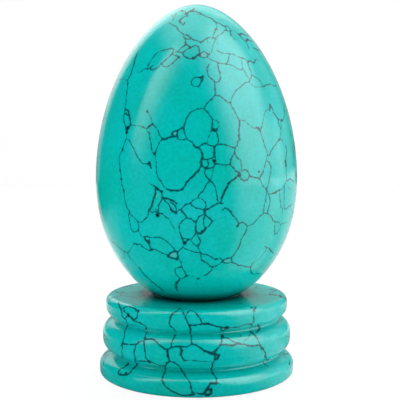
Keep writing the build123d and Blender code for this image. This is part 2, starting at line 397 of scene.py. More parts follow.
# The egg's veins, part by part. Their ways are heights above its lower tip.
BOLD, FINE, FAINT = 0.155, 0.08, 0.03  # half widths in mm
crown_veins = [
    (0.28, (-12.5, 48.35)), (0.35, (-10.3, 57.85)), (0.24, (-5, 50.3)), (0.35, (2.2, 49.05)),
    (0.28, (-2, 48.3)), (0.21, (16, 47.3)), (0.17, (25.3, 55.45)), (0.24, (47.3, 53.25)), (0.14, (35, 52.9)),
    (0.17, (37.2, 52.3)), (0.17, (21.8, 53.95)),
    (BOLD, (-57, 50), (-54.9, 48.9), (-54.1, 48.2), (-52.8, 47.7), (-52, 46.6), (-51.2, 45.8), (-52.4, 44.5)),
    (FINE, (-35.8, 46.5), (-36.2, 47.1), (-35.8, 47.8), (-34.7, 48.6), (-33.4, 49.05), (-31.5, 49.5),
     (-29.7, 49.85), (-26.5, 49.95), (-23.3, 50.1), (-20.1, 50.15), (-18.3, 49.95), (-18, 49.3),
     (-19.2, 48.75), (-21.5, 48.2), (-23.7, 47.8), (-26, 47.35), (-27, 46.8), (-28.4, 46.5), (-30.6, 46.2),
     (-32.9, 46.3), (-34.1, 46.8)),
    (FINE, (-43.7, 45.8), (-40.3, 46), (-38.3, 46.5), (-35.8, 46.5), (-33.7, 46.8), (-32, 47)),
    (FINE, (-17.8, 49), (-15.1, 48.75), (-12.8, 48.4), (-14.2, 47.9), (-16.5, 47.35), (-19.2, 46.9),
     (-20.5, 46.6), (-23.3, 46.8), (-25.1, 47.3)),
    (BOLD, (-35.8, 58.2), (-32.4, 58.3), (-29, 58.15), (-26, 58)),
    (FINE, (-26, 58), (-21.5, 58), (-18.7, 57.7), (-17.4, 57.3), (-15.1, 57.5), (-12.8, 57.75),
     (-10.3, 57.85), (-5.5, 57.7), (-2.8, 58), (-0.5, 57.9)),
    (FAINT, (-10.3, 57.85), (-8.5, 58.5)),
    (BOLD, (-0.5, 57.9), (1.3, 57.8), (3.6, 57.6), (5.8, 57.55), (7.6, 57.35), (10.4, 57.05), (14.5, 56.7),
     (16.7, 56.5), (19.5, 56.3), (21.3, 56.1)),
    (BOLD, (21.3, 56.1), (23.1, 55.7), (24.5, 55.5), (27.9, 55.3), (30.2, 55.15), (31.1, 54.9), (33.4, 54.8),
     (35.5, 54.9)),
    (FINE, (0.4, 57.25), (3.1, 57.1), (5.8, 57.1), (8.5, 57.15)),
    (FINE, (-14.5, 57.2), (-13.5, 56.75), (-17, 56.65), (-19.3, 56.35)),
    (BOLD, (-19.3, 56.35), (-20.8, 56), (-20.6, 55.7), (-18.6, 55.3)),
    (FINE, (-18.6, 55.3), (-15.6, 54.8), (-14.1, 55.05), (-14.6, 55.5)),
    (BOLD, (-15.2, 57.1), (-14.8, 57.4), (-14.5, 57.8)),
    (BOLD, (-8.5, 57.85), (-7, 58.2), (-5, 58.6)),
    (FINE, (-37, 57.6), (-34.5, 57.3), (-33, 56.7), (-32, 56.1)),
    (FAINT, (-36.5, 55.75), (-33.4, 55.45), (-30, 55.2)),
    (FINE, (-30, 55.2), (-27.3, 55), (-24.2, 54.7), (-21.5, 54.5), (-19.2, 54), (-16.9, 53.6), (-14.6, 53.3),
     (-12.4, 53), (-10.1, 52.75), (-8.5, 52.8)),
    (BOLD, (-8.5, 52.8), (-6.9, 52.5), (-5.1, 52.2)),
    (FINE, (-5.1, 52.2), (-2.8, 51.85), (-0.5, 51.7), (1.3, 51.6), (3.1, 51.3), (5.4, 51.5), (7.6, 51.8),
     (9.9, 52.1), (12.6, 52.35), (14.9, 52.3), (17.2, 52.35), (19.5, 52.4), (21.7, 52.8), (24, 53.1),
     (26.5, 53.4), (28.3, 53.5), (30.2, 54), (33, 53.9), (37.1, 53.9), (40.4, 54), (44, 53.85),
     (46.3, 53.55)),
    (BOLD, (46.3, 53.55), (47.3, 53.25), (48.4, 53.3)),
    (BOLD, (47.3, 53.25), (47.5, 52.7), (48.8, 52.4), (50.1, 52.1), (51.1, 51.85), (51, 51.4), (50.1, 50.95)),
    (FAINT, (50.1, 50.95), (49.7, 50.6), (50, 50.2)),
    (BOLD, (48.4, 53.3), (50.6, 53.55), (54.2, 53.65), (57.5, 53.5)),
    (BOLD, (57.5, 53.5), (62, 53.4), (66, 53.4)),
    (BOLD, (51.5, 52), (55, 52.35), (58.5, 52.6), (62.6, 52.45), (66.7, 52.2)),
    (BOLD, (58, 50.85), (60, 50.8), (62.2, 50.65)),
    (BOLD, (62.2, 50.65), (66, 50.55), (70, 50.5), (74, 50.2)),
    (FINE, (33.4, 54.8), (33.2, 54.2), (33, 53.9)),
    (FINE, (33.4, 54.8), (35.5, 54.9), (37.4, 54.85), (38.6, 54.6), (38.3, 54.2), (37.1, 53.9), (35.6, 53.3),
     (35, 52.9)),
    (FAINT, (35, 52.9), (36, 52.6), (37.2, 52.3)),
    (FINE, (20.8, 54.05), (22.1, 54.2), (23.1, 55), (24.8, 55.4)),
    (FAINT, (18.5, 52.1), (18.2, 51.5), (17.3, 50.9)),
    (FINE, (-12.8, 52.9), (-11.5, 52.3), (-9.9, 51.95), (-7.4, 51.85), (-5.1, 51.9)),
    (FINE, (-9.7, 51.9), (-9.3, 51.4), (-9, 50.8)),
    (FINE, (-16, 49.4), (-13.7, 49.65), (-11.9, 50.2), (-10.1, 50.6), (-8.5, 50.8), (-6.5, 50.65),
     (-4.9, 50.3), (-2.8, 50.55), (-0.5, 50.8), (1.3, 50.5), (1.7, 49.8), (2.2, 49.1)),
    (FINE, (-14.6, 49.45), (-12, 49.4), (-10.1, 49.3), (-8.7, 49.6), (-6.9, 50), (-5, 50.3)),
    (FINE, (-10, 49.2), (-8.7, 48.6), (-6.5, 48.25), (-4.2, 48.15)),
    (BOLD, (-4.2, 48.15), (-2.4, 48.2), (-0.5, 48.5), (0.8, 48.85), (2.2, 49.1)),
    (FINE, (2.2, 49.1), (4, 49.4), (6.3, 49.5), (8.1, 49.2), (9.9, 48.95), (8.1, 48.6), (5.8, 48.4),
     (3.5, 48.6), (2.2, 49)),
    (FAINT, (9.9, 49), (11.7, 49.4), (12.6, 49.9), (13.5, 50.6), (14.5, 51.2), (16.3, 51.65), (17.6, 52.2)),
    (FINE, (8.5, 48.4), (10.4, 47.9), (12.6, 47.7), (14.9, 47.5), (16.5, 47.3), (18.5, 47.3), (20.8, 47.3),
     (23.1, 47.7), (24.9, 48.5), (25.8, 49)),
    (FINE, (20.8, 47.3), (24.5, 47.2), (27.4, 46.8), (30.3, 46.3), (32, 46.2), (34.1, 46.4), (34.9, 47.3),
     (35.8, 48.4)),
    (FINE, (16.7, 49.8), (18.5, 49.45), (20.4, 49.25), (23.1, 49.25), (26.2, 49.2), (30.3, 49), (33.7, 48.7)),
    (BOLD, (33.7, 48.7), (35.8, 48.5), (38, 48.45)),
    (FINE, (38, 48.45), (41.6, 48.1), (44.5, 48.1)),
    (BOLD, (44.5, 48.1), (47, 47.8), (49, 48)),
    (FINE, (49, 48), (50.8, 48.5), (53.7, 48.5), (56.6, 48.4)),
    (FINE, (40, 47.6), (41.6, 47.8), (44.5, 48.1)),
    (FINE, (40.8, 47.5), (40.3, 46.5), (41, 45.5)),
    (FAINT, (9.6, 52), (9.7, 51.3)),
    (FINE, (16.3, 52.25), (16.7, 52.9), (18.3, 53.35), (19.9, 53.8), (20.8, 54.05)),
    (FAINT, (-50, 57.5), (-46.5, 57.4), (-42.9, 57.25), (-40, 57.05), (-37, 56.8)),
    (FINE, (9, 47.15), (7.6, 46.6), (7, 45.9), (7.5, 45.2), (8.4, 44.7), (9.8, 44.3), (11.5, 44.05),
     (12.7, 43.8), (14.4, 44), (15.6, 44.6), (15.7, 45.7), (15.4, 46.6), (14.9, 47.5)),
]
front_veins = [
    (0.24, (2.9, 44.5)), (0.32, (9.4, 35.15)), (0.32, (9.2, 29.55)), (0.28, (4.9, 28.4)),
    (0.28, (-22, 30.85)), (0.28, (-25.2, 29.15)),
    (FINE, (4.8, 44.8), (4, 44.2), (3, 43.9), (2.3, 43.4), (1.1, 43), (-1, 43), (-2.7, 43.3), (-3.3, 43.9),
     (-2.7, 44.2), (-1, 44.5), (0.6, 44.55), (2.3, 44.5), (3.8, 44.8), (4.8, 44.8)),
    (FINE, (11.6, 44), (11.9, 43.25), (11.7, 42.45), (11.5, 41.4), (10.2, 41.1), (9, 40.75)),
    (BOLD, (9, 40.75), (7.75, 40.5)),
    (FINE, (7.75, 40.5), (5.9, 39.95), (5, 39.4), (4.4, 39)),
    (FINE, (11.5, 41.4), (13.6, 41.3), (15.6, 40.9), (17.3, 40.5), (18.8, 40.2), (20.2, 40.05), (21.5, 40.85),
     (23.2, 41.55), (25.3, 42.5), (27.8, 42.9), (30.3, 43.4), (32.8, 43.8), (35.8, 43.9)),
    (FINE, (20.2, 40.05), (21.7, 39.05), (22.75, 38.25), (24, 37.45), (24.6, 36.8)),
    (BOLD, (24.6, 36.8), (24.6, 36), (23.8, 35.2), (23.1, 34.2), (23.6, 33.4)),
    (FINE, (23.6, 33.4), (22.6, 33), (21.9, 32.45), (20.8, 32.1)),
    (FINE, (4.4, 39), (2.7, 39), (1, 38.9), (-1, 38.6), (-3.1, 38.2), (-4.4, 37.6), (-5.6, 37), (-6.5, 36.15),
     (-6.7, 35.5), (-6.3, 34.7), (-5.6, 34.1), (-4.4, 33.4), (-2.7, 32.95), (-1, 32.45)),
    (BOLD, (-1, 32.45), (0.6, 32.05), (1.7, 31.65), (2.7, 31), (3.1, 30.2), (2.7, 29.4), (2.8, 28.9),
     (1.1, 28.1), (-1, 27.3), (-3.1, 26.6), (-4.3, 26), (-5.2, 25.2), (-7.3, 24.5), (-9.3, 24.4),
     (-12.2, 24.3), (-14.8, 24.55)),
    (FAINT, (-14.8, 24.55), (-16.5, 25)),
    (FINE, (4.4, 39), (6.5, 38.35), (7.75, 37.6), (9, 37.05)),
    (BOLD, (9, 37.05), (9.2, 36.3), (8.75, 35.5), (9.4, 35.1)),
    (BOLD, (8.1, 35), (9.4, 35.1), (11, 35.25)),
    (FAINT, (9.4, 37), (11.5, 37), (12.7, 36.5), (12.3, 35.85), (11, 35.35)),
    (FAINT, (8.1, 34.9), (6.9, 34.05), (5.9, 33.25), (5.6, 32.6)),
    (FINE, (10.6, 34.9), (11.5, 34.05), (12.1, 33.25), (11.5, 32.6)),
    (FINE, (1.2, 31.9), (2, 32.4), (3.1, 32.6), (4.8, 32.7), (6.25, 32.45), (8.1, 32.3), (10, 32.3),
     (11, 32.6), (13.5, 32.6), (15.6, 32.55), (17.7, 32.3), (19.8, 32.15), (21, 32.1)),
    (BOLD, (3.1, 32.6), (4.8, 32.7)),
    (BOLD, (9.6, 32.2), (9.8, 31.2), (9.4, 30.4)),
    (FINE, (9.4, 30.4), (8.1, 30.1), (5.6, 29.95), (4, 30), (3.1, 30.1)),
    (FINE, (9.8, 31), (10, 30.4), (9.7, 29.6), (9.3, 29.1), (8.6, 28.5)),
    (FINE, (6, 29.9), (6.2, 29.2), (5.6, 28.65), (4.9, 28.3), (3.1, 28.75)),
    (FINE, (21, 32.1), (20.4, 31.15), (19.4, 30.5), (18.3, 29.9), (17.7, 29.1), (15.6, 28.9), (13.5, 28.85),
     (11.5, 29.05), (9.6, 29), (8.6, 28.5), (5, 28.3)),
    (FINE, (20.5, 31), (21.1, 30.4), (22.3, 30), (24, 29.7), (24.1, 28.8), (24.1, 27.8)),
    (FINE, (17.9, 29), (19.4, 28.3), (20.7, 27.8), (22.8, 27.5)),
    (BOLD, (-27.8, 35.4), (-26.3, 35.8), (-24.5, 36.15)),
    (FINE, (-24.5, 36.15), (-22.7, 35.7), (-21, 34.95), (-20, 34.2), (-18.3, 33.5)),
    (FINE, (-27.4, 35), (-26, 34.4), (-25.2, 33.6), (-24.1, 32.6), (-24, 31.8), (-23.1, 31.15), (-22, 30.85),
     (-21.4, 31.3), (-20.6, 32.3), (-19.75, 33), (-18.3, 33.5)),
    (BOLD, (-18.3, 33.45), (-15.6, 33.6), (-13.5, 33.8), (-11.8, 33.95), (-10.1, 34.1), (-10, 34.95),
     (-11.4, 34.9), (-12.6, 34.75), (-13.1, 34.4), (-11.8, 34)),
    (BOLD, (-10, 34.95), (-8.5, 35.35), (-7.25, 35.6), (-6.5, 35.2)),
    (FINE, (-10.1, 34), (-9.7, 33.6), (-8.5, 33.4), (-6.4, 33.4), (-4.9, 33.65)),
    (BOLD, (-25.9, 29.1), (-25.2, 29.4), (-24.3, 28.9), (-23.5, 28.35)),
    (FAINT, (-22, 30.8), (-21.4, 30.3), (-20.8, 29.2)),
    (FINE, (-16.5, 25), (-18, 26.1), (-19.8, 26.9), (-20.6, 27.8), (-20.8, 29.2)),
]
belly_veins = [
    (0.3, (4.5, 20.6)), (0.22, (2.8, 16.5)), (0.2, (3.5, 17.1)), (0.22, (5.1, 17.5)), (0.28, (-6.4, 14.7)),
    (0.24, (12.4, 11.6)), (0.24, (23, 17.9)), (0.24, (-6.7, 8.1)), (0.28, (-15.1, 6.7)), (0.28, (-17.4, 5.6)),
    (0.28, (1.8, 7.7)), (0.3, (-20.1, 24.55)), (0.28, (-18, 24.15)), (0.28, (-10.4, 20.4)),
    (0.42, (-20.5, 19.8)),
    (BOLD, (22.5, 26.9), (20.3, 26.5), (18.6, 26.1), (16.9, 25.6), (16.3, 25), (15, 24.4), (14.2, 23.8),
     (13.2, 23.1)),
    (FINE, (13.2, 23.1), (12.8, 22.1)),
    (FINE, (4.9, 28.2), (4.2, 27.6), (5.3, 26.9), (6.9, 26.2), (8.6, 25.8), (9.6, 25.2), (10, 24.4),
     (10.7, 23.5), (10.9, 22.7), (12.3, 22.1)),
    (FINE, (6.9, 26.2), (5.3, 25.6), (4.4, 25), (3, 24.3), (1.3, 23.7), (0.9, 23.1)),
    (FAINT, (8.4, 28.3), (8.4, 27.9), (8.2, 26.9), (7.4, 26.3)),
    (FINE, (0.9, 23.1), (3.2, 22.9), (4.6, 22.3), (4.8, 21.6), (4, 21), (2.7, 21), (-0.2, 21.2), (-2.2, 21.7),
     (-3.1, 22.2), (-1.4, 22.7), (0.9, 23.1)),
    (FINE, (-3.1, 22.2), (-5.2, 22), (-6.8, 21.5), (-7.5, 21), (-7, 20.5), (-5.6, 19.9), (-4.8, 19.4)),
    (BOLD, (4.3, 20.9), (6.1, 21.2), (9, 21.7)),
    (FINE, (9, 21.7), (10.7, 22.1), (12.8, 22.1), (14.2, 22.1)),
    (FINE, (4.6, 20.3), (5.7, 19.7), (7.3, 19.4), (8.6, 18.8), (6.9, 17.9), (5.3, 17.6), (4, 18.4),
     (3.8, 19.3), (4.6, 20.3), (1.9, 19.7), (0.5, 18.9), (-0.2, 18.7)),
    (FAINT, (8.6, 18.9), (10.5, 19)),
    (BOLD, (-0.2, 18.7), (0, 17.9), (0.3, 17.1), (1.5, 16.5), (3.6, 16.8), (5.3, 17.5)),
    (FINE, (0, 18.4), (-1, 18.8), (-2.7, 19.3), (-4.8, 19.4), (-7.3, 18.9), (-8.7, 18.4), (-9.1, 17.7),
     (-8.7, 16.8), (-7.7, 15.9), (-4.3, 15.4), (-2.3, 15.6), (-0.6, 16.3), (0.3, 16.9)),
    (BOLD, (-7.7, 15.8), (-6.4, 14.8), (-4.3, 15.4)),
    (FAINT, (-6.4, 14.7), (-7.7, 13.9)),
    (FINE, (-3.3, 15.3), (-1, 14.6), (1.1, 14.2)),
    (FINE, (0.3, 16.6), (1.5, 15.8), (2.3, 15.2), (1.5, 14.5), (1.5, 14), (2.5, 13.1), (3.2, 12.7)),
    (FINE, (-10.6, 12.9), (-9.3, 13.4), (-7.7, 13.9), (-6, 13.6), (-3.1, 13.3), (-0.2, 13), (2.8, 12.7),
     (4.8, 12.6), (6.7, 12.45), (9, 12.05), (10.3, 11.75), (12.6, 11.6), (14.9, 11.7), (16.5, 11.2)),
    (BOLD, (-16.8, 12.1), (-15.2, 12.7), (-13.1, 13), (-11.2, 12.9), (-10.7, 12.1), (-12, 11.6), (-15, 11.75),
     (-16.8, 12.1)),
    (FINE, (-26.6, 15.6), (-23.5, 15.7), (-21, 15.6), (-19.3, 15.5), (-16.8, 14.9), (-14.8, 14.4),
     (-13.1, 13.7), (-12.3, 13.1)),
    (FINE, (-26.5, 13.4), (-23.5, 13.1), (-20.6, 12.7), (-17.7, 12.4), (-16.8, 12.2)),
    (BOLD, (-22.2, 25.3), (-20.6, 24.7), (-17.7, 24)),
    (FAINT, (-25.7, 25.8), (-23.5, 25.4), (-21.8, 25.2)),
    (BOLD, (-21.4, 24.7), (-21.6, 23.7), (-22.3, 23), (-22.9, 22.3), (-23.7, 21.5), (-25.2, 20.8),
     (-25.7, 20.5)),
    (FINE, (-25.5, 20.5), (-23.5, 20.3), (-21.8, 20.5), (-20.2, 20.3)),
    (FINE, (-17.7, 24), (-17.4, 23.1)),
    (BOLD, (-17.4, 23.1), (-15.2, 22.95), (-13.1, 22.7), (-11.5, 22.45), (-9.9, 22)),
    (FINE, (-13.5, 22.3), (-12, 22), (-10.8, 21.5), (-10.2, 21), (-10.4, 20.4)),
    (BOLD, (-13.2, 21.1), (-12, 20.7), (-10.4, 20.4)),
    (FAINT, (-10.4, 20.4), (-8.6, 20.9), (-7.5, 21)),
    (FINE, (-21.4, 20.9), (-19.4, 20.8)),
    (FINE, (-17.2, 23.1), (-18.3, 22.3), (-19.5, 21.6), (-20, 20.6), (-20.2, 19.7)),
    (FINE, (-17.2, 23), (-16, 22.4), (-14.3, 21.9), (-13.1, 21.1), (-11.4, 20.6), (-10, 20.2)),
    (FINE, (-19.8, 20.1), (-17.7, 20), (-16, 19.5), (-14.8, 19.2)),
    (FAINT, (-14.8, 19.2), (-13.5, 18.4), (-12.3, 17.6), (-11.6, 16.8)),
    (FINE, (13.2, 20.8), (14.8, 21.2), (16.5, 21), (18.2, 20.6), (19.8, 19.9), (21.5, 19.2), (23.2, 18.5),
     (23, 18), (24.4, 18.3), (25.8, 18.4), (27.4, 18.1), (28.9, 17.7), (28.9, 16.9), (27.8, 16), (26.4, 15.2),
     (26, 14.3), (25.3, 13.5), (23.8, 12.8), (22.5, 12)),
    (FINE, (-10.7, 12), (-9.5, 11), (-9.5, 10.1), (-10.6, 10), (-13.1, 9.6), (-14.2, 8.9), (-13.8, 8.3),
     (-12.2, 7.7), (-10.1, 7.6), (-7.9, 7.9), (-6.6, 8.2), (-7.4, 9), (-9, 9.8), (-9.5, 10)),
    (BOLD, (-12.2, 7.6), (-13.1, 7.2), (-15.1, 6.7), (-16.5, 6.2), (-17.4, 5.5), (-17.6, 4.8)),
    (FAINT, (-6, 8.2), (-3.3, 8.15), (-0.6, 8.2)),
    (FINE, (2.8, 12.7), (2.6, 12.1), (3.3, 11.4), (4.9, 11.05), (7.6, 10.7), (9.2, 10.4), (10.8, 10.1),
     (12.6, 10.2), (14.4, 10.5), (15.8, 10.8), (16.5, 11.05), (17.6, 11.5), (19.9, 11.75), (22.1, 11.8),
     (22.8, 11.4), (23.3, 10.85), (20.3, 10.8), (18.1, 10.8), (16.5, 11.05)),
    (FINE, (10.8, 10), (10.3, 9.4), (9, 8.95)),
    (BOLD, (9, 8.95), (7.6, 8.6), (5.3, 8.35)),
    (FAINT, (5.3, 8.35), (3, 7.95)),
    (FAINT, (0.3, 6.9), (0.3, 6.2)),
]
left_veins = [
    (0.24, (-50.8, 43.9)), (0.42, (-41.2, 35.5)), (0.35, (-41.5, 34.8)), (0.21, (-28.9, 38.5)),
    (0.24, (-43.3, 31.7)), (0.24, (-44.5, 27.7)), (0.24, (-43.5, 26.2)), (0.24, (-41.6, 24)),
    (0.28, (-28.5, 14.8)),
    (FAINT, (-72, 45), (-63.7, 44.8), (-57, 44.8), (-52.4, 44.5)),
    (FINE, (-52.4, 44.5), (-51.2, 43.9), (-50.1, 43.3), (-49.5, 42.5), (-48.7, 41.6), (-47.6, 40.7),
     (-46.4, 39.1), (-46.2, 37.5), (-45.1, 36.6), (-43.3, 35.8), (-42.2, 35.3)),
    (BOLD, (-46.4, 39.1), (-44.5, 38.9), (-42.8, 38.5), (-41.6, 38), (-40.3, 37.1), (-39.7, 36.2)),
    (BOLD, (-45.3, 38.3), (-42.8, 37.9), (-41.6, 38)),
    (BOLD, (-42.2, 35.4), (-39.7, 35.9)),
    (FAINT, (-39.1, 36), (-36.2, 35.9), (-33.2, 35.8), (-30.3, 35.7), (-27.8, 35.4)),
    (FAINT, (-28.9, 38.5), (-27, 37.8), (-25.7, 37.1), (-24.7, 36.3)),
    (FINE, (-41.4, 34.7), (-41.4, 33.6), (-39.1, 33.3), (-37.4, 32.6), (-35.3, 31.8), (-33.7, 30.8),
     (-32, 30.1), (-30.7, 29.7), (-29.1, 29.2), (-27, 29.2), (-25.2, 29.2)),
    (FINE, (-41.4, 33.6), (-42, 33.2), (-43.3, 31.7), (-44.9, 30.8), (-45.3, 29.7), (-44.9, 28.9),
     (-44.5, 27.7), (-43.5, 26.2), (-42.6, 25), (-41.6, 24), (-41.4, 22.9), (-40.5, 21.8), (-39.9, 21),
     (-38.7, 20.3), (-38.9, 19.5), (-39.3, 18.4), (-39.1, 17.1), (-38, 16.5), (-35.8, 16.5), (-33.7, 16.8)),
    (FAINT, (-43.3, 31.7), (-41.2, 31.2)),
    (FINE, (-38.7, 20.2), (-36.6, 19.4), (-34.9, 19), (-33, 18.4), (-33.2, 17.3), (-33.7, 16.8), (-32.5, 16),
     (-30.7, 15.6), (-28.3, 15.8), (-26.6, 15.6)),
    (FINE, (-33, 18.3), (-30.3, 18.4), (-28.7, 18.9), (-27, 19.4), (-25.8, 20), (-25.7, 20.5), (-24.9, 21)),
    (BOLD, (-30.3, 15.6), (-29.9, 15.1), (-28.7, 14.5), (-27.4, 13.4)),
    (FINE, (-27.4, 15.5), (-27.8, 14.5), (-28.5, 14.6)),
    (FINE, (-37.4, 14), (-35.3, 14.1), (-33.7, 13.7), (-31.6, 13.4), (-29.1, 13.1), (-26.5, 13.4)),
    (BOLD, (-39.3, 14.1), (-37.4, 14)),
    (BOLD, (-28, 13.2), (-26.2, 13.3)),
    (FAINT, (-39.3, 14.1), (-42, 13.5), (-44.9, 12.7), (-47, 12.2), (-49, 12.05)),
    (FINE, (-69, 14.25), (-65.5, 13.9), (-61.8, 13.4), (-58.5, 13), (-55, 12.6), (-51.8, 12.2), (-49, 12.05)),
    (FAINT, (-51.8, 12.2), (-54, 11.3), (-56.1, 10.8), (-58.9, 10.3)),
    (FINE, (-49, 12.05), (-48.6, 11.4), (-46.5, 10.5)),
    (FAINT, (-46.5, 10.5), (-45, 9.8), (-43.5, 9.1)),
    (BOLD, (-43.5, 9.1), (-42.4, 8.3), (-41, 7.6), (-39.6, 6.9), (-38, 6.4), (-36.3, 5.7), (-34.3, 5.2),
     (-32.5, 4.5)),
]
right_veins = [
    (0.28, (37, 35.3)), (0.35, (57.4, 29.3)), (0.35, (57.6, 28.6)), (0.35, (22.5, 26.9)),
    (0.2, (34.6, 27.55)),
    (FAINT, (35.8, 43.9), (37.8, 43.4), (39.9, 43.1), (43.7, 43.1), (47, 43.1), (47.8, 43.2)),
    (FINE, (47.8, 43.2), (50.3, 43.5), (53.7, 43.8), (57.8, 43.9), (61.2, 43.6), (67.8, 43.7)),
    (FINE, (34.1, 46.3), (35.2, 45.6), (36.4, 45), (37.4, 44.5), (35.8, 43.9)),
    (FINE, (37.4, 44.4), (38.7, 44.8), (41, 45.4), (43.7, 45), (46, 44.5), (47.4, 43.9), (47.8, 43.2)),
    (FAINT, (24.9, 37), (27.4, 36.9), (29.9, 36.4), (32, 35.8), (34, 35.4), (35.4, 35.45)),
    (BOLD, (35.4, 35.45), (36.4, 35.4), (37.5, 34.95)),
    (FINE, (37.5, 34.95), (38.9, 35.7), (39.7, 36.3), (40.9, 36.95)),
    (FAINT, (40.9, 36.95), (43, 38.1), (44.7, 38.65), (46.5, 39), (48.3, 38.95)),
    (BOLD, (48.5, 38.9), (49.2, 39.4), (50, 39.85), (51, 39.5), (52, 39)),
    (FINE, (52, 39), (51.6, 38.5)),
    (BOLD, (51.6, 38.5), (52.9, 38.05), (54.6, 37.4), (55.1, 37.1)),
    (FINE, (54.6, 37.4), (57.5, 37.1), (60, 37), (62, 37.05), (64, 37.6), (66.5, 38.4), (69, 39.3),
     (72, 40.1)),
    (BOLD, (59, 37), (61, 37)),
    (FINE, (55.1, 37.1), (55.1, 36.5), (55.4, 35.9), (56.2, 35.3), (57.2, 35.7), (57.6, 36.2), (57.8, 37)),
    (FAINT, (56.2, 35.3), (55.3, 34.4), (54, 33.6)),
    (FINE, (56.5, 33.2), (54.9, 33.5), (53.2, 33.5), (50.8, 33.1), (49.1, 32.7), (47.6, 32.3), (45.4, 31.6),
     (43.9, 31.1), (42.8, 30.6), (41.2, 30.6), (40.5, 30)),
    (BOLD, (54, 33.55), (52, 33.4)),
    (FINE, (37.8, 35), (38.3, 34.1), (39.1, 33.1), (39.9, 32.1), (40.8, 31.2), (40.8, 30.5)),
    (FINE, (40.5, 30), (39.7, 29.4), (38.7, 28.6), (37.6, 27.6), (36.2, 27), (35.1, 26.4)),
    (FINE, (40.5, 30), (41, 29.5), (42.4, 29.2), (43.4, 28.4), (43, 27.4), (42.2, 26.5), (41.4, 25.5),
     (40.5, 24.8), (40.3, 24.1)),
    (BOLD, (60, 32.3), (60, 31.7), (59.7, 31.1), (58.2, 30.3), (57.4, 29.5), (57.8, 28.6)),
    (FINE, (57.8, 28.6), (57.9, 27.6), (57.8, 26.6), (57.6, 25.6)),
    (FINE, (26.1, 28), (27.3, 27.7), (28.2, 27.2), (28.7, 26.9), (27.4, 26.3), (25.3, 26.1), (23.9, 26.3),
     (23.2, 27)),
    (FAINT, (24.1, 27.7), (25, 27.95), (26.1, 28)),
    (BOLD, (21, 27.7), (22.7, 27.5), (23.2, 27), (22.5, 26.7)),
    (FINE, (28.7, 26.9), (30.3, 26.8), (32.4, 26.5), (34.5, 26.4), (35.3, 26.2), (36.4, 25.6), (37.8, 25),
     (39.5, 24.4), (40.3, 24), (41.5, 23.4), (44.5, 23.5)),
    (BOLD, (44.5, 23.5), (47, 23.7), (49.9, 24)),
    (FINE, (49.9, 24), (52.8, 24.1), (55.3, 24.8), (57.8, 25.6), (60.3, 25.7), (62, 26), (64.1, 25.8),
     (67.4, 25.3), (69.5, 25.2)),
    (FAINT, (60, 24.5), (62, 24.1), (64.5, 23.7)),
    (FINE, (40.3, 24), (39.9, 23.4), (39.5, 22.4), (38.9, 21.3), (38.9, 20.3), (38.7, 19.8)),
    (FINE, (41.6, 23.2), (42.4, 22.6), (42.8, 22.1), (42.4, 21.1), (41.8, 20.3), (42.2, 19.8)),
    (FINE, (49.5, 18), (47, 18.5), (44.9, 19.2), (42.3, 19.8), (40.3, 19.8), (38.7, 19.8), (36.6, 19.4),
     (34.5, 18.7), (32.4, 18.1), (28.9, 17.7)),
    (FINE, (50.8, 23.9), (51.2, 22.7), (52, 21.8), (53.3, 20.8), (55.3, 20.3), (56.2, 19.4)),
    (FINE, (55.3, 24.7), (55.5, 23.5), (55.8, 22.4), (56.6, 21), (57.4, 20.3), (59.9, 20.2), (62.4, 20.6),
     (65.8, 20.6), (68.3, 21)),
    (FAINT, (49.5, 18), (51.2, 18), (54.1, 17.7), (56.6, 17.4), (59.5, 17.4), (64.1, 17.5)),
    (FINE, (49.5, 18), (50.5, 17.1), (51.2, 16.3), (52.4, 15.6), (54.5, 15.7), (56.6, 16.3), (57.4, 17.1)),
    (FINE, (46.2, 13.4), (48.7, 13), (51.3, 12.8), (53.3, 12.4), (55.6, 12.05), (58.3, 11.7), (60.6, 11.4)),
    (FINE, (22.1, 11.8), (22.5, 12)),
    (FINE, (23.3, 10.85), (24.4, 10.6), (26.1, 10.4), (28.1, 10.1), (30.6, 10.05), (32.9, 9.85), (35.6, 9.55),
     (38.3, 9.45), (39.9, 9.35), (40.1, 10), (41.5, 10.4), (43.3, 10.7)),
    (FAINT, (43.3, 10.7), (45.1, 10.85), (47, 11.7), (48.5, 12.4), (48.7, 13)),
    (FINE, (39.9, 9.35), (41.3, 8.9), (42.9, 8.4), (45.1, 8), (47.4, 7.8), (50.1, 7.7), (53.8, 7.6),
     (57.4, 7.5)),
    (FAINT, (57.4, 7.5), (60.6, 7.25), (65.1, 6.85)),
]
pale_grains = [
    (0.5, (-13.6, 12.3)), (0.5, (19.6, 11.3)), (0.7, (5.8, 48.95)), (0.5, (-16.5, 55.8)),
    (0.35, (-11.4, 34.4)), (0.35, (-21, 23.5)), (0.5, (-19, 49.6)),
]
egg_ways = egg_outline[:, 1] - egg_outline[0, 1]
egg_webs = [marked(name, veins, egg_outline, egg_ways) for name, veins in (
    ("crown veins", crown_veins), ("front veins", front_veins), ("belly veins", belly_veins),
    ("left veins", left_veins), ("right veins", right_veins))]
egg_grains = marked("pale grains", pale_grains, egg_outline, egg_ways)
# The egg's painted contact shade reaches 2 mm from the seat.
egg.data.materials.append(turquoise(
    "polished turquoise of the egg", egg_webs, turn_drawn=66, axis="height", seat=egg_tip + SEAT_HEIGHT,
    painted_shade_reach=2.0, grains=egg_grains))

# The softboxes: frames of white gauze lit from inside, on arms out of view. A large one is at the right,
# a strip at the left and one overhead, with a dimmer one, a reflector and two white cards to the rear.
# Each is a glowing sheet, which the polish mirrors, with a lamp of the same size that lights the stone.
AIM = Vector((0, 0, 0.04))  # metres, the middle of the object
EVEN_FROM = 0.55  # share of a sheet's height from which its glow is even


def sheet(name, corners):
    """A flat sheet with four corners."""
    mesh = bpy.data.meshes.new(name)
    mesh.from_pydata(corners, [], [(0, 1, 2, 3)])
    made = bpy.data.objects.new(name, mesh)
    bpy.context.collection.objects.link(made)
    return made


